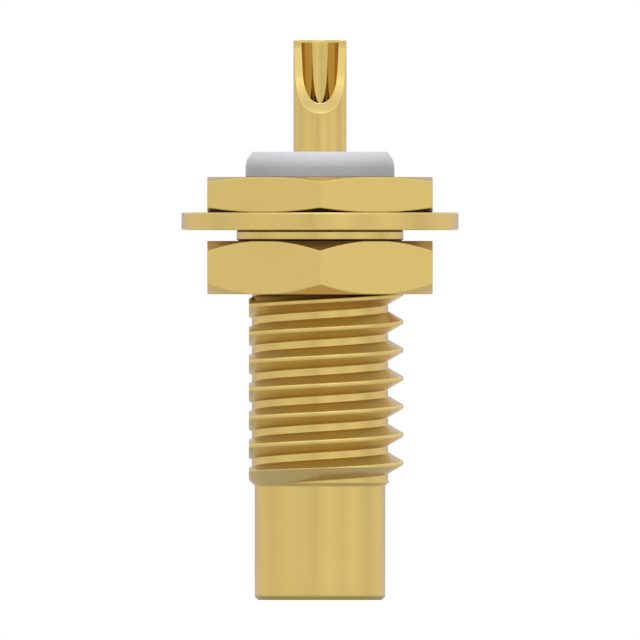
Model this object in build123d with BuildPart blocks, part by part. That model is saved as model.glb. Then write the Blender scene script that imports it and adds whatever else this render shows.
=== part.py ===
from build123d import *
import os
from math import ceil, cos, radians, tan

os.makedirs("parts", exist_ok=True)

# A threaded coaxial panel jack with a solder cup, in millimetres.
# +Z runs up the axis to the cup. The origin is where the axis meets the flange's panel seat.

# Hexagonal flange, chamfered on both faces, with a corner to the front
hex_sides = 6
flange_across_flats = 6.35
flange_thick = 1.0
flange_chamfer_angle = 15

# External thread: number 10, 32 turns to the inch, 60 degree unified form, right-handed
thread_pitch = 0.79375
thread_major_dia = 4.694
thread_flank_angle = 30
crest_flats_per_pitch = 8
root_flats_per_pitch = 4
thread_end_depth = 7.70
thread_crest_depth = 3.09
relief_width = 0.80
relief_extra = 0.03
flat_across = 4.35

# Smooth nose that enters the mating plug, and the socket inside it
nose_dia = 3.676
nose_length = 3.21
nose_edge = 0.10
socket_dia = 3.00
socket_depth = 3.20
socket_edge = 0.12

# Bore for the insulators, with a neck that stops them at the socket
insulator_bore_dia = 3.10
neck_dia = 2.60
neck_length = 0.50

# Panel hardware: a plain washer, then the nut just below it
washer_dia = 7.80
washer_bore_clearance = 0.103
washer_thick = 0.50
washer_edge = 0.05
nut_gap = 0.30
nut_across_flats = 6.35
nut_thick = 1.50
nut_chamfer_angle = 30
nut_root_clearance = 0.092
nut_mouth_flare = 0.12
nut_mouth_angle = 60

# Insulators
cap_dia = 4.193
cap_height = 0.733
cap_round = 0.60
cap_wall_height = 0.251
rear_insulator_depth = 2.60

# Centre contact
cup_dia = 1.494
cup_top = 4.852
cup_bore_dia = 1.10
cup_bore_depth = 2.30
cup_drill_angle = 59
cup_mouth_edge = 0.06
collar_dia = 2.00
collar_thick = 0.60
shaft_dia = 0.90
pin_dia = 0.51
pin_recess = 0.30
pin_round = 0.16

# Window in the front wall of the cup: flat to just ahead of the axis, then an arc out to the wall
window_reach = 0.24
window_straight = 0.62
window_arc = 2.30

# Fits
seat_clearance = 0.01
thread_clearance = 0.04
cutter_overrun = 0.05

# Values that follow from the sizes above
half_side_angle = 180 / hex_sides
major_radius = thread_major_dia / 2
crest_half = thread_pitch / crest_flats_per_pitch / 2
root_half = thread_pitch / root_flats_per_pitch / 2
flank_slope = tan(radians(thread_flank_angle))
flank_width = thread_pitch / 2 - crest_half - root_half
thread_depth = flank_width / flank_slope
root_radius = major_radius - thread_depth
nose_radius = nose_dia / 2
nose_end = -thread_end_depth - nose_length
socket_floor = nose_end + socket_depth
neck_top = socket_floor + neck_length
washer_bore_radius = major_radius + washer_bore_clearance
nut_top = -washer_thick - nut_gap
nut_bottom = nut_top - nut_thick
nut_bore_radius = root_radius + nut_root_clearance
relief_bottom = nut_top - relief_width
relief_middle = nut_top - relief_width / 2
relief_radius = root_radius - relief_extra
relief_side = (major_radius - relief_radius) * flank_slope
end_cone = major_radius - nose_radius + cutter_overrun
cap_top = flange_thick + cap_height
collar_top = -rear_insulator_depth
collar_bottom = collar_top - collar_thick


def ring_section(*points):
    """A closed outline in the XZ plane, to be turned about the axis."""
    with BuildSketch(Plane.XZ) as section:
        with BuildLine():
            Polyline(*points, close=True)
        make_face()
    return section.sketch


def hexagon(across_flats, height):
    """A hexagon with a corner to the front, at a height."""
    with BuildSketch(Plane.XY.offset(height)) as outline:
        RegularPolygon(across_flats / 2, hex_sides, major_radius=False, rotation=half_side_angle)
    return outline.sketch


def chamfer_lens(across_flats, bottom, top, angle):
    """The turned shape that takes a hexagon's corners off both faces, from the circle inside its flats."""
    flat_radius = across_flats / 2
    corner_radius = flat_radius / cos(radians(half_side_angle)) + cutter_overrun
    drop = (corner_radius - flat_radius) * tan(radians(angle))
    return ring_section(
        (0, bottom),
        (flat_radius, bottom),
        (corner_radius, bottom + drop),
        (corner_radius, top - drop),
        (flat_radius, top),
        (0, top),
    )


def winding(inner_radius, inner_half, outer_radius, outer_half, centre_height, low, high):
    """A ridge that winds up the axis through centre_height on the +X side, from below low up to high."""
    turns_down = ceil((centre_height - low) / thread_pitch)
    start = centre_height - turns_down * thread_pitch
    with BuildPart() as ridge:
        with BuildLine() as path:
            Helix(thread_pitch, high - start, inner_radius, center=(0, 0, start))
        with BuildSketch(Plane.XZ):
            with BuildLine():
                Polyline(
                    (inner_radius, start - inner_half),
                    (outer_radius, start - outer_half),
                    (outer_radius, start + outer_half),
                    (inner_radius, start + inner_half),
                    close=True,
                )
            make_face()
        sweep(path=path.line, is_frenet=True)
    return ridge.part


# Flange: a hexagon with its corners turned off
with BuildPart() as flange:
    extrude(hexagon(flange_across_flats, 0), amount=flange_thick)
    revolve(chamfer_lens(flange_across_flats, 0, flange_thick, flange_chamfer_angle), mode=Mode.INTERSECT)

# The groove of the outer thread, from below its end up into the relief
groove_height = -thread_crest_depth + thread_pitch / 2
thread_groove = winding(
    root_radius,
    root_half,
    major_radius + cutter_overrun,
    root_half + (thread_depth + cutter_overrun) * flank_slope,
    groove_height,
    -thread_end_depth - thread_pitch,
    relief_middle,
)

# Shell: flange, shank, thread and nose in one piece
with BuildPart() as shell:
    # The shank, with a relief where the thread ends under the nut
    revolve(
        ring_section(
            (0, 0),
            (major_radius, 0),
            (major_radius, nut_top),
            (relief_radius, nut_top - relief_side),
            (relief_radius, relief_bottom + relief_side),
            (major_radius, relief_bottom),
            (major_radius, -thread_end_depth),
            (0, -thread_end_depth),
        )
    )
    add(thread_groove, mode=Mode.SUBTRACT)
    # The flat along the thread, to the left
    with BuildSketch(Plane.XY.offset(relief_middle)):
        with Locations((major_radius - flat_across, 0)):
            Rectangle(thread_depth, thread_major_dia, align=(Align.MAX, Align.CENTER))
    extrude(amount=-relief_middle - thread_end_depth, mode=Mode.SUBTRACT)
    # The thread's end, coned down to the nose
    revolve(
        ring_section(
            (nose_radius, -thread_end_depth),
            (nose_radius + end_cone, -thread_end_depth + end_cone),
            (nose_radius + end_cone, -thread_end_depth),
        ),
        mode=Mode.SUBTRACT,
    )
    revolve(
        ring_section(
            (0, -thread_end_depth),
            (nose_radius, -thread_end_depth),
            (nose_radius, nose_end + nose_edge),
            (nose_radius - nose_edge, nose_end),
            (0, nose_end),
        )
    )
    add(flange.part)
    # The bore for the insulators, its neck, and the socket in the nose
    revolve(
        ring_section(
            (0, flange_thick),
            (insulator_bore_dia / 2, flange_thick),
            (insulator_bore_dia / 2, neck_top),
            (neck_dia / 2, neck_top),
            (neck_dia / 2, socket_floor),
            (socket_dia / 2, socket_floor),
            (socket_dia / 2, nose_end + socket_edge),
            (socket_dia / 2 + socket_edge, nose_end),
            (0, nose_end),
        ),
        mode=Mode.SUBTRACT,
    )

# Washer: a plain ring with broken edges
with BuildPart() as flat_washer:
    with BuildSketch():
        Circle(washer_dia / 2)
        Circle(washer_bore_radius, mode=Mode.SUBTRACT)
    extrude(amount=-washer_thick)
    chamfer(flat_washer.edges().filter_by(GeomType.CIRCLE), washer_edge)

# The matching groove inside the nut, wider than the thread's ridge by the clearance all round
flank_clearance = thread_clearance / cos(radians(thread_flank_angle))
ridge_reach = major_radius - nut_bore_radius + cutter_overrun
nut_groove = winding(
    major_radius - ridge_reach,
    crest_half + ridge_reach * flank_slope + flank_clearance,
    major_radius + thread_clearance,
    crest_half - thread_clearance * flank_slope + flank_clearance,
    -thread_crest_depth,
    nut_bottom - thread_pitch,
    nut_top + thread_pitch,
)

# Nut: chamfered hexagon, flared at both mouths and tapped to run on the thread
mouth_radius = major_radius + nut_mouth_flare
mouth_cone = mouth_radius / tan(radians(nut_mouth_angle))
with BuildPart() as hex_nut:
    extrude(hexagon(nut_across_flats, nut_bottom), amount=nut_thick)
    revolve(chamfer_lens(nut_across_flats, nut_bottom, nut_top, nut_chamfer_angle), mode=Mode.INTERSECT)
    add(nut_groove, mode=Mode.SUBTRACT)
    with BuildSketch(Plane.XY.offset(nut_bottom)):
        Circle(nut_bore_radius)
    extrude(amount=nut_thick, mode=Mode.SUBTRACT)
    revolve(
        ring_section(
            (0, nut_bottom),
            (mouth_radius, nut_bottom),
            (0, nut_bottom + mouth_cone),
        ),
        mode=Mode.SUBTRACT,
    )
    revolve(
        ring_section(
            (0, nut_top),
            (mouth_radius, nut_top),
            (0, nut_top - mouth_cone),
        ),
        mode=Mode.SUBTRACT,
    )

# Rear insulator: the rounded cap on the flange, and its spigot in the bore down to the contact's collar
cap_radius = cap_dia / 2
cap_arc_centre = (cap_radius - cap_round, flange_thick + cap_wall_height)
cap_arc_rise = cap_height - cap_wall_height
cap_top_radius = cap_arc_centre[0] + (cap_round**2 - cap_arc_rise**2) ** 0.5
cup_hole = cup_dia / 2 + seat_clearance
spigot_radius = insulator_bore_dia / 2 - seat_clearance
with BuildPart() as rear_insulator:
    with BuildSketch(Plane.XZ):
        with BuildLine():
            cap_arc = RadiusArc((cap_top_radius, cap_top), (cap_radius, cap_arc_centre[1]), cap_round)
            Polyline(
                cap_arc @ 1,
                (cap_radius, flange_thick),
                (spigot_radius, flange_thick),
                (spigot_radius, collar_top),
                (cup_hole, collar_top),
                (cup_hole, cap_top),
                cap_arc @ 0,
            )
        make_face()
    revolve()

# Front insulator: from the collar to the socket, stepped at the neck
front_radius = insulator_bore_dia / 2 - seat_clearance
tip_radius = neck_dia / 2 - seat_clearance
shaft_hole = shaft_dia / 2 + seat_clearance
with BuildPart() as front_insulator:
    revolve(
        ring_section(
            (shaft_hole, collar_bottom),
            (front_radius, collar_bottom),
            (front_radius, neck_top),
            (tip_radius, neck_top),
            (tip_radius, socket_floor),
            (shaft_hole, socket_floor),
        )
    )

# Centre contact: solder cup, collar held between the insulators, shaft and pin
cup_floor = cup_top - cup_bore_depth
drill_tip = cup_floor - cup_bore_dia / 2 / tan(radians(cup_drill_angle))
pin_end = nose_end + pin_recess
with BuildPart() as centre_contact:
    revolve(
        ring_section(
            (0, cup_top),
            (cup_dia / 2, cup_top),
            (cup_dia / 2, collar_top),
            (collar_dia / 2, collar_top),
            (collar_dia / 2, collar_bottom),
            (shaft_dia / 2, collar_bottom),
            (shaft_dia / 2, socket_floor),
            (pin_dia / 2, socket_floor),
            (pin_dia / 2, pin_end),
            (0, pin_end),
        )
    )
    fillet(centre_contact.edges().sort_by(Axis.Z)[0], pin_round)
    revolve(
        ring_section(
            (0, cup_top),
            (cup_bore_dia / 2 + cup_mouth_edge, cup_top),
            (cup_bore_dia / 2, cup_top - cup_mouth_edge),
            (cup_bore_dia / 2, cup_floor),
            (0, drill_tip),
        ),
        mode=Mode.SUBTRACT,
    )
    # The window, drawn from the side and cut straight across
    window_turn = cup_top - window_straight
    window_rise = (window_arc**2 - (window_arc + window_reach - cup_dia / 2) ** 2) ** 0.5
    with BuildSketch(Plane.YZ):
        with BuildLine():
            window_line = Line((-window_reach, cup_top), (-window_reach, window_turn))
            window_curve = RadiusArc(window_line @ 1, (-cup_dia / 2, window_turn - window_rise), window_arc)
            Polyline(window_curve @ 1, (-cup_dia, window_turn - window_rise), (-cup_dia, cup_top), window_line @ 0)
        make_face()
    extrude(amount=cup_dia, both=True, mode=Mode.SUBTRACT)

shell.part.label = "shell"
export_step(shell.part, "parts/shell.step")
flat_washer.part.label = "flat_washer"
export_step(flat_washer.part, "parts/flat_washer.step")
hex_nut.part.label = "hex_nut"
export_step(hex_nut.part, "parts/hex_nut.step")
rear_insulator.part.label = "rear_insulator"
export_step(rear_insulator.part, "parts/rear_insulator.step")
front_insulator.part.label = "front_insulator"
export_step(front_insulator.part, "parts/front_insulator.step")
centre_contact.part.label = "centre_contact"
export_step(centre_contact.part, "parts/centre_contact.step")
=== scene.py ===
import math

import bmesh
import bpy
import numpy as np
from mathutils import Matrix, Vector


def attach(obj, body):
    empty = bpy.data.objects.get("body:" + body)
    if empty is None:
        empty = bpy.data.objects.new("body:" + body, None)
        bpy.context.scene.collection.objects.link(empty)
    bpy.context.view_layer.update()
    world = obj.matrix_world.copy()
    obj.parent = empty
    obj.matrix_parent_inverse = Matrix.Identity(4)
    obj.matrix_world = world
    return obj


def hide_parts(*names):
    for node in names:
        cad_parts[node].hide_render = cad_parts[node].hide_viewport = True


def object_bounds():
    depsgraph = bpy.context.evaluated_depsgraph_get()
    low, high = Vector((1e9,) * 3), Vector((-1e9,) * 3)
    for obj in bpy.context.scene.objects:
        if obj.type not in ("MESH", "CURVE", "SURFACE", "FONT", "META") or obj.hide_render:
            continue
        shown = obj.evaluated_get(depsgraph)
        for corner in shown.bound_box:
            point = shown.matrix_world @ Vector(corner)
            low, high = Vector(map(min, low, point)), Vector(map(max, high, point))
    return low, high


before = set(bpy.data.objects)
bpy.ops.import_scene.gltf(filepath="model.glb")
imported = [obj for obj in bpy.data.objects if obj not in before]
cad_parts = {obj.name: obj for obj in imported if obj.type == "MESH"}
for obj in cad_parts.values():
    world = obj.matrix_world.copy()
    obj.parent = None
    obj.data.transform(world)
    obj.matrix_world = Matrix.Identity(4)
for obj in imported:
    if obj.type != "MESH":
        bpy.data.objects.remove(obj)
cadLow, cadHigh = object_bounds()
scene = bpy.context.scene
mm = 0.001
print("frame loaded:", ", ".join(sorted(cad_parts)))


# small helpers

def hexColour(code):
    # sRGB hex to the linear colour that the nodes want
    channels = [int(code[i:i + 2], 16) / 255 for i in (1, 3, 5)]
    return [c / 12.92 if c <= 0.04045 else ((c + 0.055) / 1.055) ** 2.4 for c in channels] + [1.0]


def emptyTree(owner):
    # the node tree of a material or of the world, with nothing in it yet
    owner.use_nodes = True
    owner.node_tree.nodes.clear()
    return owner.node_tree


def addNode(tree, kind, inputs=None, **settings):
    # one node, its settings, and its inputs as values or as links from other sockets
    node = tree.nodes.new(kind)
    for key, value in settings.items():
        setattr(node, key, value)
    for key, value in (inputs or {}).items():
        if isinstance(value, bpy.types.NodeSocket):
            tree.links.new(value, node.inputs[key])
        else:
            node.inputs[key].default_value = value
    return node


def levelAlong(tree, share, levels):
    # the level at a share from 0 to 1 of the way through (position, level) pairs
    # the ramp holds each level as a part of the highest, so that none is cut at 1
    highest = max(level for position, level in levels)
    ramp = addNode(tree, "ShaderNodeValToRGB", {"Fac": share})
    stops = ramp.color_ramp.elements
    while len(stops) < len(levels):
        stops.new(0.5)
    for stop, (position, level) in zip(stops, levels):
        stop.position = position
    for stop, (position, level) in zip(stops, levels):
        stop.color = (level / highest, level / highest, level / highest, 1)
    return addNode(tree, "ShaderNodeMath", {0: ramp.outputs["Color"], 1: highest},
                   operation="MULTIPLY").outputs[0]


# camera: level, square on to the front corner of both hexagons; sizes in mm

cameraSet = {"centreHeight": -3.028, "frameHeight": 18.018, "distance": 60.0, "near": 1.0, "far": 1000.0}
cameraData = bpy.data.cameras.new("camera")
cameraData.type = "ORTHO"
cameraData.ortho_scale = cameraSet["frameHeight"] * mm
cameraData.clip_start, cameraData.clip_end = cameraSet["near"] * mm, cameraSet["far"] * mm
camera = bpy.data.objects.new("camera", cameraData)
camera.location = (0, -cameraSet["distance"] * mm, cameraSet["centreHeight"] * mm)
camera.rotation_euler = (math.pi / 2, 0, 0)
scene.collection.objects.link(camera)
scene.camera = camera


# materials

# from where to where each effect on the gold goes from nothing to full
plateRange = {
    # the rounded normal times the true one: where an edge gets the painted highlight
    "highlightStrength": (0.998, 0.965),
    # height of the rounded normal: an edge that turns up
    "upward": (0.04, 0.25),
    # openness: where the painted corner shade fades out, and where an edge is open enough for the painted
    # highlight
    "outOfShade": (0.42, 0.86), "exposed": (0.80, 0.92),
    # height of the true normal: a face cut across the feed, which is rougher and painted in the slant colours
    "slanted": (0.3, 0.8),
    # the part of the noises' spread that is used
    "cloud": (0.3, 0.7), "gloss": (0.15, 0.35),
}
edgeSamples = 6


def goldPlate(name, look):
    # Hard gold plate, a few micrometres over machined brass: it keeps the cutter's fine lines and is clean
    # and satin on the faces. Painted into its colour: a highlight on edges that turn up, paler slanted faces,
    # shade in corners.
    material = bpy.data.materials.new(name)
    tree = emptyTree(material)
    place = addNode(tree, "ShaderNodeTexCoord").outputs["Object"]
    height = addNode(tree, "ShaderNodeSeparateXYZ", {"Vector": place}).outputs["Z"]

    # cutter lines ring the axis, so they only change with height; real feed lines are near 0.02 mm
    # apart and are drawn at the coarser lineSpacing so that they show
    alongAxis = addNode(tree, "ShaderNodeMath", {0: height, 1: 1 / (look["lineSpacing"] * mm)},
                        operation="MULTIPLY").outputs[0]
    lines = addNode(tree, "ShaderNodeTexNoise", {"W": alongAxis, "Scale": 1.0, "Detail": 3.0},
                    noise_dimensions="1D").outputs["Fac"]
    grain = addNode(tree, "ShaderNodeTexNoise", {
        "Vector": place, "Scale": 1 / (look["grainSize"] * mm), "Detail": 2.0}).outputs["Fac"]
    cloud = addNode(tree, "ShaderNodeTexNoise", {
        "Vector": place, "Scale": 1 / (look["cloudSize"] * mm), "Detail": 4.0,
        "Roughness": 0.6}).outputs["Fac"]

    # a rounded normal at every edge; where it leaves the true one and turns up, a highlight is painted into
    # the colour
    rounded = addNode(tree, "ShaderNodeBevel", {"Radius": look["edgeRound"] * mm},
                      samples=edgeSamples).outputs["Normal"]
    trueNormal = addNode(tree, "ShaderNodeNewGeometry").outputs["Normal"]
    agree = addNode(tree, "ShaderNodeVectorMath", {0: rounded, 1: trueNormal},
                    operation="DOT_PRODUCT").outputs["Value"]
    start, full = plateRange["highlightStrength"]
    turning = addNode(tree, "ShaderNodeMapRange", {
        "Value": agree, "From Min": start, "From Max": full}).outputs["Result"]
    # the painted edge highlight takes one strength near the axis, on the thread, and another further out than
    # the rim radius
    flatPlace = addNode(tree, "ShaderNodeVectorMath", {0: place, 1: (1.0, 1.0, 0.0)},
                        operation="MULTIPLY").outputs[0]
    fromAxis = addNode(tree, "ShaderNodeVectorMath", {0: flatPlace}, operation="LENGTH").outputs["Value"]
    further = addNode(tree, "ShaderNodeMath", {0: fromAxis, 1: look["rimRadius"] * mm},
                      operation="GREATER_THAN").outputs[0]
    highlightStrength = addNode(tree, "ShaderNodeMix", {"Factor": further, 2: look["edgeHighlight"], 3: look["rimHighlight"]},
                   data_type="FLOAT").outputs[0]
    highlighted = addNode(tree, "ShaderNodeMath", {0: turning, 1: highlightStrength}, operation="MULTIPLY").outputs[0]
    start, full = plateRange["upward"]
    upward = addNode(tree, "ShaderNodeMapRange", {
        "Value": addNode(tree, "ShaderNodeSeparateXYZ", {"Vector": rounded}).outputs["Z"],
        "From Min": start, "From Max": full}).outputs["Result"]
    highlighted = addNode(tree, "ShaderNodeMath", {0: highlighted, 1: upward}, operation="MULTIPLY").outputs[0]
    # how open the place is: 0 down in corners such as the thread's, which get painted shade and no painted
    # highlight
    openness = addNode(tree, "ShaderNodeAmbientOcclusion", {"Distance": look["cornerReach"] * mm},
                       samples=edgeSamples).outputs["AO"]
    start, full = plateRange["outOfShade"]
    outOfShade = addNode(tree, "ShaderNodeMapRange", {
        "Value": openness, "From Min": start, "From Max": full}).outputs["Result"]
    start, full = plateRange["exposed"]
    exposed = addNode(tree, "ShaderNodeMapRange", {
        "Value": openness, "From Min": start, "From Max": full}).outputs["Result"]
    highlighted = addNode(tree, "ShaderNodeMath", {0: highlighted, 1: exposed}, operation="MULTIPLY").outputs[0]

    start, full = plateRange["cloud"]
    clouded = addNode(tree, "ShaderNodeMapRange", {
        "Value": cloud, "From Min": start, "From Max": full}).outputs["Result"]
    plate = addNode(tree, "ShaderNodeMix", {
        "Factor": clouded, 6: hexColour(look["colour"]), 7: hexColour(look["warmColour"])},
        data_type="RGBA").outputs[2]
    # faces, chamfers and thread flanks are cut across the feed and rougher than the turned sides. Their
    # colour is
    # painted light and shade: paler for the paler reflections in the thread, darker down in corners and on
    # the rim
    facing = addNode(tree, "ShaderNodeSeparateXYZ", {
        "Vector": addNode(tree, "ShaderNodeTexCoord").outputs["Normal"]}).outputs["Z"]
    start, full = plateRange["slanted"]
    slanted = addNode(tree, "ShaderNodeMapRange", {
        "Value": addNode(tree, "ShaderNodeMath", {0: facing}, operation="ABSOLUTE").outputs[0],
        "From Min": start, "From Max": full}).outputs["Result"]
    # painted shade: the darker corner colour down in corners, the slant colour where open
    paintedSlantTone = addNode(tree, "ShaderNodeMix", {
        "Factor": outOfShade, 6: hexColour(look["paintedCornerShade"]), 7: hexColour(look["paintedSlantColour"])},
        data_type="RGBA").outputs[2]
    # painted shade: slanted faces further out than the rim radius, the flange's, take the rim colour
    paintedSlantTone = addNode(tree, "ShaderNodeMix", {"Factor": further, 6: paintedSlantTone, 7: hexColour(look["paintedRimColour"])},
                    data_type="RGBA").outputs[2]
    plate = addNode(tree, "ShaderNodeMix", {"Factor": slanted, 6: plate, 7: paintedSlantTone},
                    data_type="RGBA").outputs[2]
    # painted highlight: the pale edge colour laid along open edges that turn up
    colour = addNode(tree, "ShaderNodeMix", {"Factor": highlighted, 6: plate, 7: hexColour(look["edgeHighlightColour"])},
                     data_type="RGBA").outputs[2]

    mixed = addNode(tree, "ShaderNodeMath", {0: lines, 1: grain}, operation="MULTIPLY").outputs[0]
    start, full = plateRange["gloss"]
    rough = addNode(tree, "ShaderNodeMapRange", {
        "Value": mixed, "From Min": start, "From Max": full, "To Min": look["roughLow"],
        "To Max": look["roughHigh"]}).outputs["Result"]
    rough = addNode(tree, "ShaderNodeMath", {0: slanted, 1: look["facedRough"], 2: rough},
                    operation="MULTIPLY_ADD").outputs[0]
    heights = addNode(tree, "ShaderNodeMath", {0: lines, 1: look["lineDepth"], 2: grain},
                      operation="MULTIPLY_ADD").outputs[0]
    bump = addNode(tree, "ShaderNodeBump", {
        "Height": heights, "Strength": 1.0, "Distance": look["bumpHeight"] * mm,
        "Normal": rounded}).outputs["Normal"]
    metal = addNode(tree, "ShaderNodeBsdfPrincipled", {
        "Base Color": colour, "Roughness": rough, "Normal": bump, "Metallic": look["metallic"],
        "Specular Tint": hexColour(look["grazingColour"]), "Sheen Weight": look["haze"],
        "Sheen Roughness": 0.4})
    addNode(tree, "ShaderNodeOutputMaterial", {"Surface": metal.outputs["BSDF"]})
    return material


# sizes in mm; the slant, corner and rim colours are painted light and shade, and the edge colour is a
# painted highlight; the rim colour and rim highlight hold further from the axis than the rim radius
turnedGold = {
    "colour": "#D8BE73", "warmColour": "#D6BA6E", "paintedSlantColour": "#D9C484", "paintedCornerShade": "#B59F63",
    "paintedRimColour": "#CCB770", "edgeHighlightColour": "#FFE391", "grazingColour": "#FAECE6",
    "lineSpacing": 0.05, "lineDepth": 0.6, "grainSize": 0.03, "cloudSize": 1.6, "bumpHeight": 0.00003,
    "metallic": 0.94, "haze": 0.17, "roughLow": 0.05, "roughHigh": 0.09, "facedRough": 0.18,
    "edgeRound": 0.045, "edgeHighlight": 0.85, "rimHighlight": 0.35, "rimRadius": 2.8, "cornerReach": 0.32,
}
milledGold = dict(
    turnedGold, paintedSlantColour="#EACC80", paintedCornerShade="#EACC80", paintedRimColour="#EACC80", lineSpacing=0.09,
    bumpHeight=0.00002, roughLow=0.08, roughHigh=0.12, facedRough=0.30, edgeRound=0.035, rimHighlight=0.65)
stampedGold = dict(
    turnedGold, paintedRimColour="#D9C484", lineSpacing=0.16, lineDepth=0.3, bumpHeight=0.00005, roughLow=0.06,
    roughHigh=0.11, edgeRound=0.035, rimHighlight=0.95)
contactGold = dict(turnedGold, lineSpacing=0.04, edgeRound=0.02)


def turnedPtfe(name, look):
    # PTFE turned from rod: dull white and waxy, with a fine tooth mark and soft light inside its edges
    material = bpy.data.materials.new(name)
    tree = emptyTree(material)
    place = addNode(tree, "ShaderNodeTexCoord").outputs["Object"]
    height = addNode(tree, "ShaderNodeSeparateXYZ", {"Vector": place}).outputs["Z"]
    alongAxis = addNode(tree, "ShaderNodeMath", {0: height, 1: 1 / (look["lineSpacing"] * mm)},
                        operation="MULTIPLY").outputs[0]
    lines = addNode(tree, "ShaderNodeTexNoise", {"W": alongAxis, "Scale": 1.0, "Detail": 2.0},
                    noise_dimensions="1D").outputs["Fac"]
    grain = addNode(tree, "ShaderNodeTexNoise", {
        "Vector": place, "Scale": 1 / (look["grainSize"] * mm), "Detail": 3.0}).outputs["Fac"]
    start, full = look["speckRange"]
    speck = addNode(tree, "ShaderNodeMapRange", {
        "Value": grain, "From Min": start, "From Max": full}).outputs["Result"]
    colour = addNode(tree, "ShaderNodeMix", {
        "Factor": speck, 6: hexColour(look["darkColour"]), 7: hexColour(look["colour"])},
        data_type="RGBA").outputs[2]
    rough = addNode(tree, "ShaderNodeMapRange", {
        "Value": grain, "To Min": look["roughLow"], "To Max": look["roughHigh"]}).outputs["Result"]
    heights = addNode(tree, "ShaderNodeMath", {0: lines, 1: look["lineDepth"], 2: grain},
                      operation="MULTIPLY_ADD").outputs[0]
    bump = addNode(tree, "ShaderNodeBump", {
        "Height": heights, "Strength": 1.0, "Distance": look["bumpHeight"] * mm}).outputs["Normal"]
    plastic = addNode(tree, "ShaderNodeBsdfPrincipled", {
        "Base Color": colour, "Roughness": rough, "Normal": bump, "IOR": look["ior"],
        "Subsurface Weight": look["softness"], "Subsurface Scale": look["softDepth"] * mm,
        "Subsurface Radius": (1.0, 1.0, 1.0)})
    addNode(tree, "ShaderNodeOutputMaterial", {"Surface": plastic.outputs["BSDF"]})
    return material


# sizes in mm; real tooth marks are near 0.03 mm apart and are drawn coarser so that they show
ptfeLook = {
    "colour": "#EDEDEF", "darkColour": "#E1E1E4", "speckRange": (0.35, 0.65),
    "lineSpacing": 0.06, "lineDepth": 0.5, "grainSize": 0.045, "bumpHeight": 0.0015,
    "roughLow": 0.42, "roughHigh": 0.58, "ior": 1.35, "softness": 0.15, "softDepth": 0.25,
}

goldShell = goldPlate("goldPlatedTurnedBrass", turnedGold)
goldNut = goldPlate("goldPlatedMilledNut", milledGold)
goldWasher = goldPlate("goldPlatedStampedWasher", stampedGold)
goldContact = goldPlate("goldPlatedTurnedContact", contactGold)
ptfe = turnedPtfe("turnedPtfe", ptfeLook)
print("materials made")


# meshes turned about the axis, in millimetres

# degrees beside a hexagon's corner at which its round gets a column of points
besideCorner = (-0.39, -0.2, 0.2, 0.39)
# points closer than this are one
mergeWithin = 1e-5


def ringAngles(columns, corners=()):
    # even steps round the axis, with a few more beside each hexagon corner for its round
    angles = {round(i * 360 / columns, 6) for i in range(columns)}
    for corner in corners:
        angles |= {round((corner + extra) % 360, 6) for extra in besideCorner}
    return np.radians(sorted(angles))


def cleaned(name, points, faces):
    # a mesh with its doubles merged and its faces outward
    mesh = bpy.data.meshes.new(name)
    mesh.from_pydata(points, [], faces)
    work = bmesh.new()
    work.from_mesh(mesh)
    bmesh.ops.remove_doubles(work, verts=work.verts, dist=mergeWithin)
    bmesh.ops.recalc_face_normals(work, faces=work.faces)
    work.to_mesh(mesh)
    work.free()
    return mesh


def turned(name, rows, angles, closed=True):
    # rows are (radius, height), each a number or one value per angle, from row to row down the section
    radii = np.array([np.broadcast_to(r, angles.shape) for r, z in rows])
    heights = np.array([np.broadcast_to(z, angles.shape) for r, z in rows])
    points = np.stack([radii * np.cos(angles), radii * np.sin(angles), heights], -1).reshape(-1, 3)
    count, columns = len(rows), len(angles)
    faces = []
    for i in range(count if closed else count - 1):
        upper, lower = i * columns, (i + 1) % count * columns
        for j in range(columns):
            k = (j + 1) % columns
            faces.append((upper + j, upper + k, lower + k, lower + j))
    return cleaned(name, points.tolist(), faces)


def roundedRows(corners, steps=3):
    # a section of straight runs, each corner (radius, height, round) turned with its round
    rows = []
    for i, (r, z, size) in enumerate(corners):
        here = np.array((r, z))
        if not size or i in (0, len(corners) - 1):
            rows.append((r, z))
            continue
        before = np.array(corners[i - 1][:2]) - here
        after = np.array(corners[i + 1][:2]) - here
        before, after = before / np.linalg.norm(before), after / np.linalg.norm(after)
        half = math.acos(np.clip(before @ after, -1, 1)) / 2
        back = size / math.tan(half)
        centre = here + (before + after) / np.linalg.norm(before + after) * size / math.sin(half)
        start, end = here + before * back - centre, here + after * back - centre
        turn = math.atan2(start[0] * end[1] - start[1] * end[0], start @ end)
        for step in range(steps + 1):
            c, s = math.cos(turn * step / steps), math.sin(turn * step / steps)
            rows.append(tuple(centre + np.array((start[0] * c - start[1] * s, start[0] * s + start[1] * c))))
    return rows


def hexRadius(angles, acrossFlats, cornerRound):
    # distance from the axis to the hexagon, corners to the front and back, each with a small round
    half = acrossFlats / 2
    fromFlat = (angles + math.pi / 6) % (math.pi / 3) - math.pi / 6
    radius = half / np.cos(fromFlat)
    fromCorner = np.abs(fromFlat) - math.pi / 6
    centre = (half - cornerRound) / math.cos(math.pi / 6)
    reach = math.atan(cornerRound / 2 / (centre + cornerRound * math.cos(math.pi / 6)))
    inside = np.sqrt(np.maximum(cornerRound ** 2 - (centre * np.sin(fromCorner)) ** 2, 0))
    # a hair past its reach, so that a column at the very end of the round still counts as on it
    return np.where(np.abs(fromCorner) <= reach * 1.01, centre * np.cos(fromCorner) + inside, radius)


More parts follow.
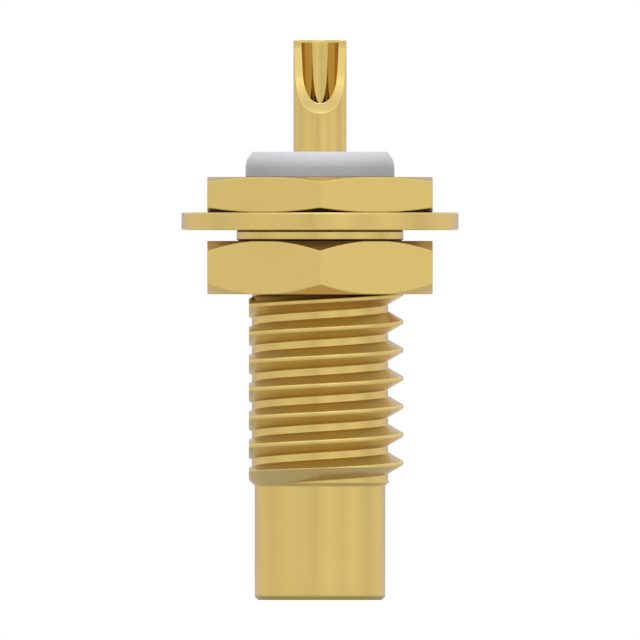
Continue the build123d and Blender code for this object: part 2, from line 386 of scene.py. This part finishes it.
def hexRows(angles, acrossFlats, bottom, top, chamferAngle, edgeRound, cornerRound):
    # the hexagon's side with its turned chamfers, from the top face round to the bottom face
    reach = hexRadius(angles, acrossFlats, cornerRound)
    slope = math.radians(chamferAngle)
    flatRadius = acrossFlats / 2
    sideX = reach - edgeRound
    steps = 3

    def half(z, sign):
        # centres of the two small rounds: face to chamfer, and chamfer to side
        level = z - sign * edgeRound
        # the chamfer line, moved in by the round
        def chamferAt(r):
            return z - sign * ((r - flatRadius) * math.tan(slope) + edgeRound / math.cos(slope))
        meet = flatRadius - (edgeRound / math.cos(slope) - edgeRound) / math.tan(slope)
        innerR = np.minimum(meet, sideX)
        outerZ = np.where(sideX > meet, chamferAt(sideX), level)
        tilt = math.pi / 2 - slope
        rows = [(innerR + edgeRound * math.cos(a), level + sign * edgeRound * math.sin(a))
                for a in np.linspace(math.pi / 2, tilt, steps)]
        rows += [(sideX + edgeRound * math.cos(a), outerZ + sign * edgeRound * math.sin(a))
                 for a in np.linspace(tilt, 0, steps + 1)]
        return rows

    return half(top, 1) + half(bottom, -1)[::-1]


def holding(mesh):
    # an object that holds a mesh while modifiers work on it
    holder = bpy.data.objects.new(mesh.name + "Work", mesh)
    scene.collection.objects.link(holder)
    return holder


def evaluated(holder):
    # the plain mesh that an object's modifiers make, without the object
    bpy.context.view_layer.update()
    mesh = bpy.data.meshes.new_from_object(holder.evaluated_get(bpy.context.evaluated_depsgraph_get()))
    bpy.data.objects.remove(holder)
    return mesh


def evenShaded(mesh, sharpAngle):
    # smooth across small angles, sharp past sharpAngle, and the large faces keep their own normals
    mesh.shade_smooth()
    mesh.set_sharp_from_angle(angle=math.radians(sharpAngle))
    holder = holding(mesh)
    even = holder.modifiers.new("evenShading", "WEIGHTED_NORMAL")
    even.keep_sharp, even.weight = True, 100
    return evaluated(holder)


def placePiece(name, mesh, body, node, material, sharpAngle=32):
    # the finished piece stands for its CAD node and rides on that node's body
    mesh = evenShaded(mesh, sharpAngle)
    mesh.transform(Matrix.Scale(mm, 4))
    mesh.name = name
    mesh.materials.clear()
    mesh.materials.append(material)
    piece = bpy.data.objects.new(name, mesh)
    scene.collection.objects.link(piece)
    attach(piece, body)
    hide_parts(node)
    print(f"{name}: {sum(len(p.vertices) - 2 for p in mesh.polygons)} triangles")


# thread: a winding cutter swept up a spiral and taken from a turned blank

def buildThreadTree():
    tree = bpy.data.node_groups.new("cutThread", "GeometryNodeTree")
    sockets = tree.interface
    sockets.new_socket("Blank", in_out="INPUT", socket_type="NodeSocketGeometry")
    for name in ("Pitch", "Winding Radius", "Start Height", "Turns", "Inner Half", "Flank Depth",
                 "Flank Half", "Mouth Depth", "Mouth Half", "Flat Distance", "Flat Top", "Flat Bottom"):
        sockets.new_socket(name, in_out="INPUT", socket_type="NodeSocketFloat")
    sockets.new_socket("Steps Per Turn", in_out="INPUT", socket_type="NodeSocketInt")
    sockets.new_socket("Finish", in_out="INPUT", socket_type="NodeSocketMaterial")
    sockets.new_socket("Threaded", in_out="OUTPUT", socket_type="NodeSocketGeometry")
    given = addNode(tree, "NodeGroupInput").outputs

    # the cutter's section, six corners put in place by their number: low side out, then high side in
    sides = (("Inner Half", None), ("Flank Half", "Flank Depth"), ("Mouth Half", "Mouth Depth"))
    lowCorners, highCorners = [], []
    for halfName, depthName in sides:
        out, up = given[depthName] if depthName else 0.0, given[halfName]
        down = addNode(tree, "ShaderNodeMath", {0: up, 1: -1.0}, operation="MULTIPLY").outputs[0]
        lowCorners.append(addNode(tree, "ShaderNodeCombineXYZ", {"X": out, "Y": down}).outputs[0])
        highCorners.append(addNode(tree, "ShaderNodeCombineXYZ", {"X": out, "Y": up}).outputs[0])
    corners = lowCorners + highCorners[::-1]
    pick = addNode(tree, "GeometryNodeIndexSwitch", data_type="VECTOR")
    while len(pick.index_switch_items) < len(corners):
        pick.index_switch_items.new()
    tree.links.new(addNode(tree, "GeometryNodeInputIndex").outputs[0], pick.inputs["Index"])
    for number, corner in enumerate(corners):
        tree.links.new(corner, pick.inputs[number + 1])
    ring = addNode(tree, "GeometryNodeCurvePrimitiveCircle", {"Resolution": len(corners)}).outputs["Curve"]
    section = addNode(tree, "GeometryNodeSetPosition", {
        "Geometry": ring, "Position": pick.outputs[0]}).outputs[0]

    rise = addNode(tree, "ShaderNodeMath", {0: given["Pitch"], 1: given["Turns"]},
                   operation="MULTIPLY").outputs[0]
    spiral = addNode(tree, "GeometryNodeCurveSpiral", {
        "Resolution": given["Steps Per Turn"], "Rotations": given["Turns"],
        "Start Radius": given["Winding Radius"], "End Radius": given["Winding Radius"],
        "Height": rise, "Reverse": True}).outputs[0]
    upright = addNode(tree, "GeometryNodeSetCurveNormal", {"Curve": spiral})
    upright.mode = "Z_UP"
    swept = addNode(tree, "GeometryNodeCurveToMesh", {
        "Curve": upright.outputs[0], "Profile Curve": section, "Fill Caps": True}).outputs[0]
    startPlace = addNode(tree, "ShaderNodeCombineXYZ", {"Z": given["Start Height"]}).outputs[0]
    winding = addNode(tree, "GeometryNodeTransform", {
        "Geometry": swept, "Translation": startPlace}).outputs[0]

    # the flat: a block past the flat's distance on the -X side, from Flat Bottom up to Flat Top
    blockDepth, blockWidth = 2.0, 8.0
    tall = addNode(tree, "ShaderNodeMath", {0: given["Flat Top"], 1: given["Flat Bottom"]},
                   operation="SUBTRACT").outputs[0]
    middle = addNode(tree, "ShaderNodeMath", {0: tall, 1: 0.5, 2: given["Flat Bottom"]},
                     operation="MULTIPLY_ADD").outputs[0]
    blockSize = addNode(tree, "ShaderNodeCombineXYZ", {
        "X": blockDepth, "Y": blockWidth, "Z": tall}).outputs[0]
    blockMiddle = addNode(tree, "ShaderNodeMath", {0: given["Flat Distance"], 1: -1.0, 2: -blockDepth / 2},
                          operation="MULTIPLY_ADD").outputs[0]
    block = addNode(tree, "GeometryNodeMeshCube", {"Size": blockSize}).outputs[0]
    blockPlace = addNode(tree, "ShaderNodeCombineXYZ", {"X": blockMiddle, "Z": middle}).outputs[0]
    flat = addNode(tree, "GeometryNodeTransform", {"Geometry": block, "Translation": blockPlace}).outputs[0]

    cut = addNode(tree, "GeometryNodeMeshBoolean", {"Mesh 1": given["Blank"], "Mesh 2": winding},
                  operation="DIFFERENCE", solver="MANIFOLD").outputs[0]
    flatted = addNode(tree, "GeometryNodeMeshBoolean", {"Mesh 1": cut, "Mesh 2": flat},
                      operation="DIFFERENCE", solver="MANIFOLD").outputs[0]
    whole = addNode(tree, "GeometryNodeRealizeInstances", {"Geometry": flatted}).outputs[0]
    dressed = addNode(tree, "GeometryNodeSetMaterial", {
        "Geometry": whole, "Material": given["Finish"]}).outputs[0]
    addNode(tree, "NodeGroupOutput", {"Threaded": dressed})
    return tree


threadTree = buildThreadTree()


def cutThread(mesh, values):
    # runs the tree on a blank and gives back the plain threaded mesh
    blank = holding(mesh)
    modifier = blank.modifiers.new("thread", "NODES")
    modifier.node_group = threadTree
    for item in threadTree.interface.items_tree:
        if item.item_type == "SOCKET" and item.in_out == "INPUT" and item.name in values:
            modifier[item.identifier] = values[item.name]
    return evaluated(blank)


# shell: flange, shank, thread, nose and bores in one turned piece

thread = {
    "pitch": 0.79375, "majorRadius": 2.347, "rootRadius": 1.9174, "rootHalf": 0.0992, "flankAngle": 30,
    "crestHeight": -3.084, "crestBreak": 0.012, "breakAngle": 60, "overrun": 0.006, "turnsBelow": 7,
    # the thread ends and the flat starts runOut under the relief's shoulder; the flat goes on to
    # flatBottom, past the thread
    "runOut": 0.432, "flatBottom": -9.0, "steps": 480,
}
shell = {
    "acrossFlats": 6.35, "flangeThick": 1.0, "chamfer": 15, "edgeRound": 0.02, "cornerRound": 0.05,
    "boreRadius": 1.55, "boreEdge": 0.04, "neckRadius": 1.30, "neckTop": -7.21, "socketFloor": -7.71,
    "socketRadius": 1.50, "socketEdge": 0.12, "noseRadius": 1.838, "noseTop": -7.70, "noseEnd": -10.91,
    "noseEdge": 0.10, "turnedRound": 0.02, "seatGroove": -0.496, "grooveDepth": 0.04, "grooveRound": 0.01,
    "reliefTop": -0.765, "reliefBottom": -1.60, "reliefRadius": 1.8874, "reliefRound": 0.012,
    "flatDistance": 2.003, "columns": 480,
}
flankSlope = math.tan(math.radians(thread["flankAngle"]))
cornerAngles = [30 + 60 * i for i in range(6)]
# how far out on a face its row of points lies from the corner that it leads to
faceRow = 0.3


def makeShell():
    s, angles = shell, ringAngles(shell["columns"], cornerAngles)
    major, nose, bore, end = thread["majorRadius"], s["noseRadius"], s["boreRadius"], s["noseEnd"]
    seat, groove, grooveRound = s["seatGroove"], s["grooveDepth"], s["grooveRound"]
    small, soft = s["reliefRound"], s["turnedRound"]
    side = (major - s["reliefRadius"]) * flankSlope
    coneTop = s["noseTop"] + major - nose
    rows = [(bore, s["flangeThick"] - s["boreEdge"]), (bore + s["boreEdge"], s["flangeThick"])]
    rows += hexRows(angles, s["acrossFlats"], 0.0, s["flangeThick"], s["chamfer"], s["edgeRound"],
                    s["cornerRound"])
    rows += roundedRows([
        (major + faceRow, 0.0, 0), (major, 0.0, soft), (major, seat + groove, grooveRound),
        (major - groove, seat, 0), (major, seat - groove, grooveRound), (major, s["reliefTop"], soft),
        (s["reliefRadius"], s["reliefTop"] - side, small),
        (s["reliefRadius"], s["reliefBottom"] + side, small), (major, s["reliefBottom"], small),
        (major, coneTop, small), (nose, s["noseTop"], soft), (nose, end + s["noseEdge"], soft),
        (nose - s["noseEdge"], end, soft), (s["socketRadius"] + s["socketEdge"], end, soft),
        (s["socketRadius"], end + s["socketEdge"], soft), (s["socketRadius"], s["socketFloor"], soft),
        (s["neckRadius"], s["socketFloor"], soft), (s["neckRadius"], s["neckTop"], 0),
        (bore, s["neckTop"], 0)])
    mesh = turned("shell", rows, angles)
    # the cutter's section: root flat, straight flanks, and a small break where each flank meets the crest
    pitch, depth = thread["pitch"], major - thread["rootRadius"]
    flank, mouth = depth - thread["crestBreak"], depth + thread["overrun"]
    flankHalf = thread["rootHalf"] + flank * flankSlope
    start = thread["crestHeight"] + pitch / 2 - thread["turnsBelow"] * pitch
    top = s["reliefTop"] - thread["runOut"]
    threaded = cutThread(mesh, {
        "Pitch": pitch, "Winding Radius": thread["rootRadius"], "Start Height": start,
        "Turns": (top - start) / pitch, "Inner Half": thread["rootHalf"], "Flank Depth": flank,
        "Flank Half": flankHalf, "Mouth Depth": mouth,
        "Mouth Half": flankHalf + (mouth - flank) * math.tan(math.radians(thread["breakAngle"])),
        "Flat Distance": s["flatDistance"], "Flat Top": top, "Flat Bottom": thread["flatBottom"],
        "Steps Per Turn": thread["steps"], "Finish": goldShell})
    placePiece("goldShell", threaded, "jack", "shell", goldShell, sharpAngle=20)


makeShell()


# panel nut; it has no flat, so its flatDistance puts the tree's block clear of it

nut = {
    "acrossFlats": 6.35, "top": -0.80, "bottom": -2.305, "chamfer": 30, "edgeRound": 0.028,
    "cornerRound": 0.05, "boreRadius": 2.0094, "mouthRadius": 2.467, "mouthAngle": 60, "mouthRound": 0.02,
    "clearance": 0.04, "insideBore": 0.05, "turns": 4.0, "steps": 240, "flatDistance": 20.0,
    "flatTop": 1.0, "columns": 480,
}


def makeNut():
    angles = ringAngles(nut["columns"], cornerAngles)
    bore, mouth, low, high = nut["boreRadius"], nut["mouthRadius"], nut["bottom"], nut["top"]
    rows = hexRows(angles, nut["acrossFlats"], low, high, nut["chamfer"], nut["edgeRound"],
                   nut["cornerRound"])
    drop = (mouth - bore) / math.tan(math.radians(nut["mouthAngle"]))
    rows += roundedRows([
        (mouth + faceRow, low, 0), (mouth, low, nut["mouthRound"]), (bore, low + drop, 0),
        (bore, high - drop, 0), (mouth, high, nut["mouthRound"]), (mouth + faceRow, high, 0)])
    mesh = turned("hexNut", rows, angles)
    # the matching ridge, a clearance wider than the shell's all round, cuts outwards from inside the bore
    pitch, gap = thread["pitch"], nut["clearance"]
    inner = bore - nut["insideBore"]
    depth = thread["majorRadius"] + gap - inner
    # half of the crest's flat, which is an eighth of the pitch wide
    crestHalf = pitch / 16
    outerHalf = crestHalf - gap * flankSlope + gap / math.cos(math.radians(thread["flankAngle"]))
    threaded = cutThread(mesh, {
        "Pitch": pitch, "Winding Radius": inner, "Start Height": thread["crestHeight"] - pitch,
        "Turns": nut["turns"], "Inner Half": outerHalf + depth * flankSlope, "Flank Depth": depth * 0.5,
        "Flank Half": outerHalf + depth * 0.5 * flankSlope, "Mouth Depth": depth, "Mouth Half": outerHalf,
        "Flat Distance": nut["flatDistance"], "Flat Top": nut["flatTop"], "Flat Bottom": thread["flatBottom"],
        "Steps Per Turn": nut["steps"], "Finish": goldNut})
    placePiece("goldHexNut", threaded, "nut", "hex_nut", goldNut)


makeNut()


# washer

washer = {
    "outerRadius": 3.90, "boreRadius": 2.45, "thick": 0.50, "edgeRound": 0.045, "faceRow": 0.1,
    "columns": 288,
}


def makeWasher():
    r, b, t, e = washer["outerRadius"], washer["boreRadius"], washer["thick"], washer["edgeRound"]
    middle = (r + b) / 2
    rows = roundedRows([
        (middle, 0, 0), (r, 0, e), (r, -t, e), (b, -t, e), (b, 0, e), (middle - washer["faceRow"], 0, 0)], 4)
    placePiece("goldWasher", turned("flatWasher", rows, ringAngles(washer["columns"])), "washer",
               "flat_washer", goldWasher)


makeWasher()


# insulators

insulator = {
    "capRadius": 2.0965, "capRound": 0.60, "roundSteps": 14, "wallTop": 1.251, "capTop": 1.712,
    "flangeTop": 1.0, "footRound": 0.015, "spigotRadius": 1.54, "spigotRound": 0.03, "collarTop": -2.60,
    "collarBottom": -3.20, "cupHole": 0.757, "tipRadius": 1.29, "neckTop": -7.21, "neckRound": 0.01,
    "socketFloor": -7.71, "shaftHole": 0.46, "edgeRound": 0.02,
    # how far from a corner the rows of points on its two sides lie
    "farRow": 0.2, "wallRow": 0.1, "nearRow": 0.05, "columns": 240,
}


def makeInsulators():
    s, edge, spigot = insulator, insulator["edgeRound"], insulator["spigotRadius"]
    centre = (s["capRadius"] - s["capRound"], s["wallTop"])
    rise = math.asin((s["capTop"] - s["wallTop"]) / s["capRound"])
    arc = [(centre[0] + s["capRound"] * math.cos(a), centre[1] + s["capRound"] * math.sin(a))
           for a in np.linspace(rise, 0, s["roundSteps"])]
    angles = ringAngles(s["columns"])
    rows = [(arc[0][0] - s["farRow"], s["capTop"]), (arc[0][0] - s["nearRow"], s["capTop"])] + arc
    rows += roundedRows([
        (s["capRadius"], s["flangeTop"] + s["wallRow"], 0), (s["capRadius"], s["flangeTop"], s["footRound"]),
        (spigot, s["flangeTop"], 0), (spigot, s["collarTop"], s["spigotRound"]),
        (s["cupHole"], s["collarTop"], edge), (s["cupHole"], s["capTop"], edge),
        (s["cupHole"] + s["farRow"], s["capTop"], 0)])
    placePiece("ptfeRearInsulator", turned("rearInsulator", rows, angles), "jack", "rear_insulator",
               ptfe)
    rows = roundedRows([
        ((spigot + s["shaftHole"]) / 2, s["collarBottom"], 0), (spigot, s["collarBottom"], s["spigotRound"]),
        (spigot, s["neckTop"], s["neckRound"]), (s["tipRadius"], s["neckTop"], 0),
        (s["tipRadius"], s["socketFloor"], edge), (s["shaftHole"], s["socketFloor"], edge),
        (s["shaftHole"], s["collarBottom"], edge), (s["shaftHole"] + s["farRow"], s["collarBottom"], 0)])
    placePiece("ptfeFrontInsulator", turned("frontInsulator", rows, angles), "jack", "front_insulator",
               ptfe)


makeInsulators()


# centre contact: solder cup, collar, shaft and pin

contact = {
    "cupRadius": 0.747, "cupTop": 4.852, "boreRadius": 0.55, "boreDepth": 2.30, "drillAngle": 59,
    "mouthEdge": 0.06, "mouthWide": 0.04, "mouthRound": 0.01, "rimRound": 0.025, "edgeRound": 0.02,
    "collarRadius": 1.0, "shaftRadius": 0.45, "pinRadius": 0.255, "pinEnd": -10.61, "pinRound": 0.16,
    "windowReach": 0.24, "windowStraight": 0.62, "windowArc": 2.30, "windowLean": 6.0, "leanLength": 0.60,
    "easeLength": 0.14, "easeSteps": 6, "arcSteps": 40, "columns": 240,
    # the arc goes on past the wall, to arcPast times its angle there; the cutter reaches to cutterSide
    # from the axis, and cutterAbove the cup
    "arcPast": 1.06, "cutterSide": 1.2, "cutterAbove": 0.2,
}


def windowOutline():
    # seen from the side, as (y, z): down ahead of the axis, leaning out a little, then an arc out to the wall
    c, steps = contact, contact["easeSteps"]
    turnHeight = c["cupTop"] - c["windowStraight"]
    centreY = -c["windowReach"] - c["windowArc"]
    rise = math.sqrt(c["windowArc"] ** 2 - (c["windowArc"] + c["windowReach"] - c["cupRadius"]) ** 2)
    last = math.asin(rise / c["windowArc"])
    lean = math.radians(c["windowLean"])
    outline = [(centreY + c["windowArc"] * math.cos(a), turnHeight - c["windowArc"] * math.sin(a))
               for a in np.linspace(lean, last * c["arcPast"], c["arcSteps"])]
    # above the arc: the leaning run, and an ease back to upright
    runs = [(lean, c["leanLength"])]
    runs += [(lean * (1 - (i + 0.5) / steps), c["easeLength"] / steps) for i in range(steps)]
    for angle, length in runs:
        y, z = outline[0]
        outline.insert(0, (y + length * math.sin(angle), z + length * math.cos(angle)))
    return outline


def makeContact():
    c, s, edge = contact, insulator, contact["edgeRound"]
    floor = c["cupTop"] - c["boreDepth"]
    tip = floor - c["boreRadius"] / math.tan(math.radians(c["drillAngle"]))
    rows = roundedRows([
        (0, tip, 0), (c["boreRadius"], floor, 0), (c["boreRadius"], c["cupTop"] - c["mouthEdge"], edge),
        (c["boreRadius"] + c["mouthWide"], c["cupTop"], c["mouthRound"]),
        (c["cupRadius"], c["cupTop"], c["rimRound"]), (c["cupRadius"], s["collarTop"], 0),
        (c["collarRadius"], s["collarTop"], edge), (c["collarRadius"], s["collarBottom"], edge),
        (c["shaftRadius"], s["collarBottom"], 0), (c["shaftRadius"], s["socketFloor"], edge),
        (c["pinRadius"], s["socketFloor"], 0), (c["pinRadius"], c["pinEnd"], c["pinRound"]),
        (0, c["pinEnd"], 0)], 6)
    whole = holding(turned("contact", rows, ringAngles(c["columns"]), closed=False))

    past, above = c["cutterSide"], c["cupTop"] + c["cutterAbove"]
    outline = windowOutline()
    outline = [(outline[0][0], above)] + outline + [(-past, outline[-1][1]), (-past, above)]
    count = len(outline)
    points = [(x, y, z) for x in (-past, past) for y, z in outline]
    faces = [tuple(range(count)), tuple(range(2 * count - 1, count - 1, -1))]
    faces += [(i, i + count, (i + 1) % count + count, (i + 1) % count) for i in range(count)]
    cutter = holding(cleaned("windowCutter", points, faces))
    cut = whole.modifiers.new("window", "BOOLEAN")
    cut.object, cut.operation, cut.solver = cutter, "DIFFERENCE", "EXACT"
    windowed = evaluated(whole)
    bpy.data.objects.remove(cutter)
    placePiece("goldContact", windowed, "jack", "centre_contact", goldContact, sharpAngle=25)


makeContact()


# floor, studio and light; sizes in mm

studio = {
    # floorWhite is the floor's own glow towards the camera, and its material is clear inside floorHole
    "floorColour": "#B6B5B2", "floorHalf": 400.0, "floorWhite": 0.80, "floorHole": 1.60,
    # the floor's glow towards the metal, by distance from the axis; painted light and shade in the metal's
    # reflections: brighter under the nose's rim, dim close around it, brighter again far off
    "sweep": [(0, 0.50), (1.85, 0.50), (2.1, 0.26), (4, 0.28), (18, 0.40), (35, 0.62), (60, 0.74)],
    # the surround's light on matt surfaces: level, straight up, and from belowFrom down
    "skyLow": 0.49, "skyHigh": 0.56, "skyBelow": 2.2, "belowFrom": -0.1,
    "keyPower": 0.024, "keySize": 70.0, "keyPlace": (0.0, -26.0, 60.0),
    # how bright the surround is to the metal, by angle from the camera's side: minus is the left
    "ring": [(-180, 0.47), (-166, 0.61), (-152, 0.80), (-138, 0.90), (-125, 0.94), (-115, 0.94),
             (-92, 0.87), (-78, 0.93), (-65, 0.97), (-53, 0.99), (-41, 0.965), (-34, 0.94), (-25, 0.945),
             (-12, 0.88), (-8, 0.845), (-3, 0.92), (0, 0.96), (6, 0.995), (12, 1.03), (19, 1.08),
             (27, 1.01), (38, 0.945), (45, 0.97), (57, 1.065), (66, 1.04), (78, 0.95), (92, 0.855),
             (118, 1.0), (134, 0.985), (154, 0.83), (168, 0.60), (180, 0.47)],
    # how many times the ring it is on the camera's side, by height: 0 is level, 1 straight up
    "frontLift": [(0.0, 1.0), (0.10, 1.10), (0.19, 1.27), (0.33, 1.37), (0.42, 1.50), (0.47, 1.50),
                  (0.55, 1.42), (0.66, 1.26), (0.77, 1.14), (0.87, 1.04), (0.93, 1.0)],
    # the same behind the object
    "backLift": [(0.0, 1.0), (0.12, 1.25), (0.25, 1.55), (0.36, 1.30), (0.50, 0.90), (1.0, 1.0)],
    # how many times the ring comes on top of that, on all sides: a lamp straight overhead
    "zenith": [(0.0, 0.0), (0.40, 0.05), (0.90, 0.06), (0.972, 0.10), (0.984, 1.9), (1.0, 4.2)],
    # the part of a direction that points to that side, from where the lift starts to where it is full
    "frontRange": (0.3, 0.75), "backRange": (0.7, 0.85),
}


def makeFloor():
    half, height = studio["floorHalf"] * mm, cadLow.z
    mesh = bpy.data.meshes.new("floor")
    mesh.from_pydata([(-half, -half, height), (half, -half, height), (half, half, height),
                      (-half, half, height)], [], [(0, 1, 2, 3)])
    floor = bpy.data.objects.new("floor", mesh)
    scene.collection.objects.link(floor)
    # matt pale card with the shadow kept: a glow makes it white to the camera, and a painted glow that is dim
    # close to the object and brighter away from it is what the metal sees
    material = bpy.data.materials.new("paleFloorCard")
    tree = emptyTree(material)
    path = addNode(tree, "ShaderNodeLightPath").outputs
    under = addNode(tree, "ShaderNodeNewGeometry").outputs["Backfacing"]
    card = addNode(tree, "ShaderNodeBsdfDiffuse", {
        "Color": hexColour(studio["floorColour"]), "Roughness": 0.0}).outputs[0]
    flatPlace = addNode(tree, "ShaderNodeVectorMath", {
        0: addNode(tree, "ShaderNodeTexCoord").outputs["Object"], 1: (1.0, 1.0, 0.0)},
        operation="MULTIPLY").outputs[0]
    away = addNode(tree, "ShaderNodeVectorMath", {0: flatPlace}, operation="LENGTH").outputs["Value"]
    last = studio["sweep"][-1][0]
    share = addNode(tree, "ShaderNodeMath", {0: away, 1: 1 / (last * mm)}, operation="MULTIPLY").outputs[0]
    sweep = levelAlong(tree, share, [(distance / last, level) for distance, level in studio["sweep"]])
    toMetal = addNode(tree, "ShaderNodeMath", {0: path["Is Glossy Ray"], 1: sweep},
                      operation="MULTIPLY").outputs[0]
    glow = addNode(tree, "ShaderNodeMath", {0: path["Is Camera Ray"], 1: studio["floorWhite"], 2: toMetal},
                   operation="MULTIPLY_ADD").outputs[0]
    light = addNode(tree, "ShaderNodeEmission", {"Color": (1, 1, 1, 1), "Strength": glow}).outputs[0]
    both = addNode(tree, "ShaderNodeAddShader", {0: card, 1: light}).outputs[0]
    clear = addNode(tree, "ShaderNodeBsdfTransparent").outputs[0]
    # clear to a camera below it, and to all light under the open socket, so that the underside can be
    # looked at
    fromBelow = addNode(tree, "ShaderNodeMath", {0: path["Is Camera Ray"], 1: under},
                        operation="MULTIPLY").outputs[0]
    hole = addNode(tree, "ShaderNodeMath", {0: away, 1: studio["floorHole"] * mm},
                   operation="LESS_THAN").outputs[0]
    clearPart = addNode(tree, "ShaderNodeMath", {0: fromBelow, 1: hole}, operation="MAXIMUM").outputs[0]
    mix = addNode(tree, "ShaderNodeMixShader", {"Fac": clearPart, 1: both, 2: clear}).outputs[0]
    addNode(tree, "ShaderNodeOutputMaterial", {"Surface": mix})
    mesh.materials.append(material)


def makeWorld():
    world = bpy.data.worlds.new("studio")
    scene.world = world
    tree = emptyTree(world)
    path = addNode(tree, "ShaderNodeLightPath").outputs
    way = addNode(tree, "ShaderNodeSeparateXYZ", {
        "Vector": addNode(tree, "ShaderNodeTexCoord").outputs["Generated"]}).outputs
    toCamera = addNode(tree, "ShaderNodeMath", {0: way["Y"], 1: -1.0}, operation="MULTIPLY").outputs[0]
    turn = addNode(tree, "ShaderNodeMath", {0: way["X"], 1: toCamera}, operation="ARCTAN2").outputs[0]
    share = addNode(tree, "ShaderNodeMapRange", {
        "Value": turn, "From Min": -math.pi, "From Max": math.pi}).outputs["Result"]
    ring = levelAlong(tree, share, [((angle + 180) / 360, level) for angle, level in studio["ring"]])

    # the ring's share on top of itself, by height
    more = levelAlong(tree, way["Z"], studio["zenith"])
    for lift, side, (start, full) in ((studio["frontLift"], toCamera, studio["frontRange"]),
                                      (studio["backLift"], way["Y"], studio["backRange"])):
        raised = addNode(tree, "ShaderNodeMath", {0: levelAlong(tree, way["Z"], lift), 1: 1.0},
                         operation="SUBTRACT").outputs[0]
        faded = addNode(tree, "ShaderNodeMapRange", {
            "Value": side, "From Min": start, "From Max": full}).outputs["Result"]
        more = addNode(tree, "ShaderNodeMath", {0: raised, 1: faded, 2: more},
                       operation="MULTIPLY_ADD").outputs[0]
    lifted = addNode(tree, "ShaderNodeMath", {0: ring, 1: more, 2: ring},
                     operation="MULTIPLY_ADD").outputs[0]

    sky = addNode(tree, "ShaderNodeMapRange", {
        "Value": way["Z"], "To Min": studio["skyLow"], "To Max": studio["skyHigh"]}).outputs["Result"]
    # what lies below is only met through the floor's hole, and is the matt light for the open socket
    below = addNode(tree, "ShaderNodeMath", {0: way["Z"], 1: studio["belowFrom"]},
                    operation="LESS_THAN").outputs[0]
    sky = addNode(tree, "ShaderNodeMix", {"Factor": below, 2: sky, 3: studio["skyBelow"]},
                  data_type="FLOAT").outputs[0]

    # the metal sees the ring, the camera sees plain white, and all matt light is the sky's; the depth
    # counts matt bounces, so 0.5 parts none from one
    mirrored = addNode(tree, "ShaderNodeMath", {0: path["Is Glossy Ray"], 1: path["Is Transmission Ray"]},
                       operation="MAXIMUM").outputs[0]
    straight = addNode(tree, "ShaderNodeMath", {0: path["Diffuse Depth"], 1: 0.5},
                       operation="LESS_THAN").outputs[0]
    seen = addNode(tree, "ShaderNodeMath", {0: mirrored, 1: straight}, operation="MULTIPLY").outputs[0]
    metalOrMatt = addNode(tree, "ShaderNodeMix", {"Factor": seen, 6: sky, 7: lifted},
                          data_type="RGBA").outputs[2]
    colour = addNode(tree, "ShaderNodeMix", {
        "Factor": path["Is Camera Ray"], 6: metalOrMatt, 7: (1, 1, 1, 1)}, data_type="RGBA").outputs[2]
    back = addNode(tree, "ShaderNodeBackground", {"Color": colour, "Strength": 1.0}).outputs[0]
    addNode(tree, "ShaderNodeOutputWorld", {"Surface": back})


def makeKeyLight():
    data = bpy.data.lights.new("softKey", "AREA")
    data.shape, data.size, data.energy = "SQUARE", studio["keySize"] * mm, studio["keyPower"]
    lamp = bpy.data.objects.new("softKey", data)
    lamp.location = [v * mm for v in studio["keyPlace"]]
    lamp.rotation_euler = (-lamp.location).to_track_quat("-Z", "Y").to_euler()
    lamp.visible_glossy = False
    scene.collection.objects.link(lamp)


makeFloor()
makeWorld()
makeKeyLight()
scene.view_settings.view_transform = "Standard"
# no bright spots are thrown by the metal onto the cap and the floor
scene.cycles.caustics_reflective = False
print("studio made")
